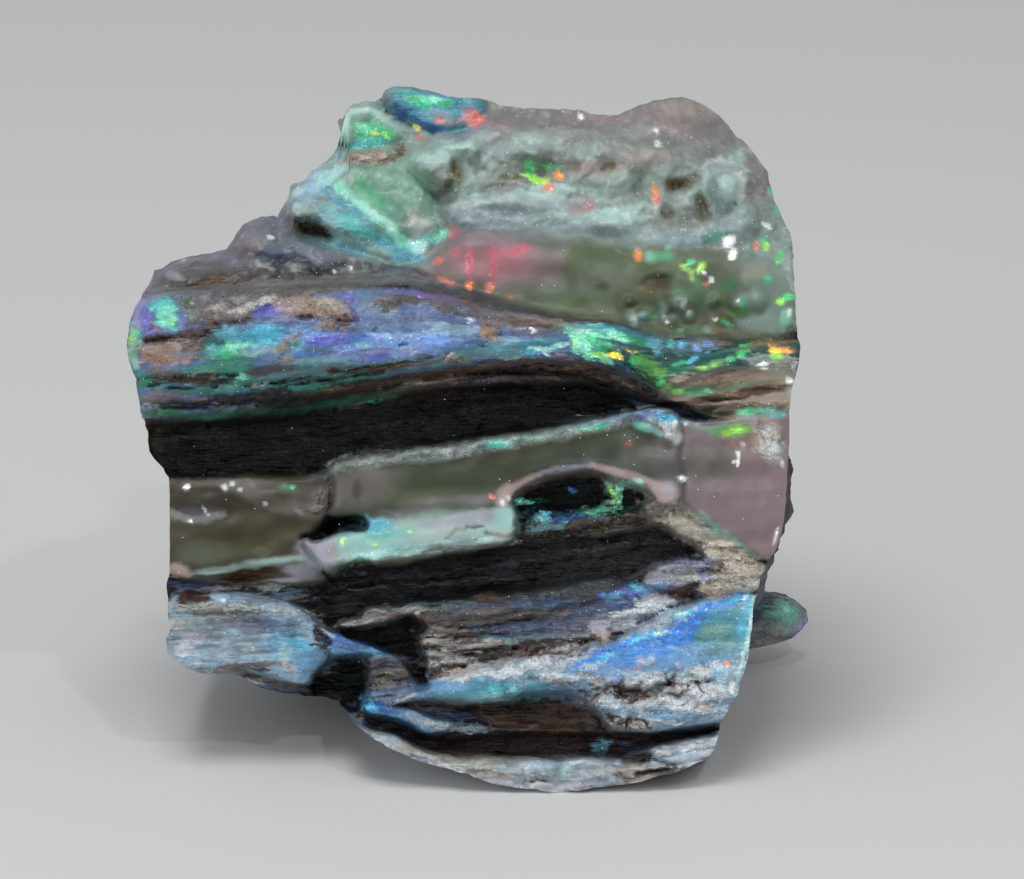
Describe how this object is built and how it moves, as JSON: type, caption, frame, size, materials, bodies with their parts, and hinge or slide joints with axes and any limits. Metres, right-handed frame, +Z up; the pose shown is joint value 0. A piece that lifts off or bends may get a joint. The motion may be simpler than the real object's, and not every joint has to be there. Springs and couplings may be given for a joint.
{
  "type": "opal specimen",
  "caption": "Rough hand specimen of opalised wood: a small block of precious opal with a layered, carved-looking front face, for display.",
  "frame": {"origin": "centre of the footprint's bounding box, on the surface the specimen rests on", "axes": "+X along the wood grain, +Y from the banded front face to the rough back, +Z up"},
  "size_m": [0.0376, 0.0262, 0.0332],
  "materials": {
    "opal": "glossy in the opal, matt in the wood and crust"
  },
  "bodies": {
    "root": {"opal_specimen": "opal"}
  },
  "joints": []
}
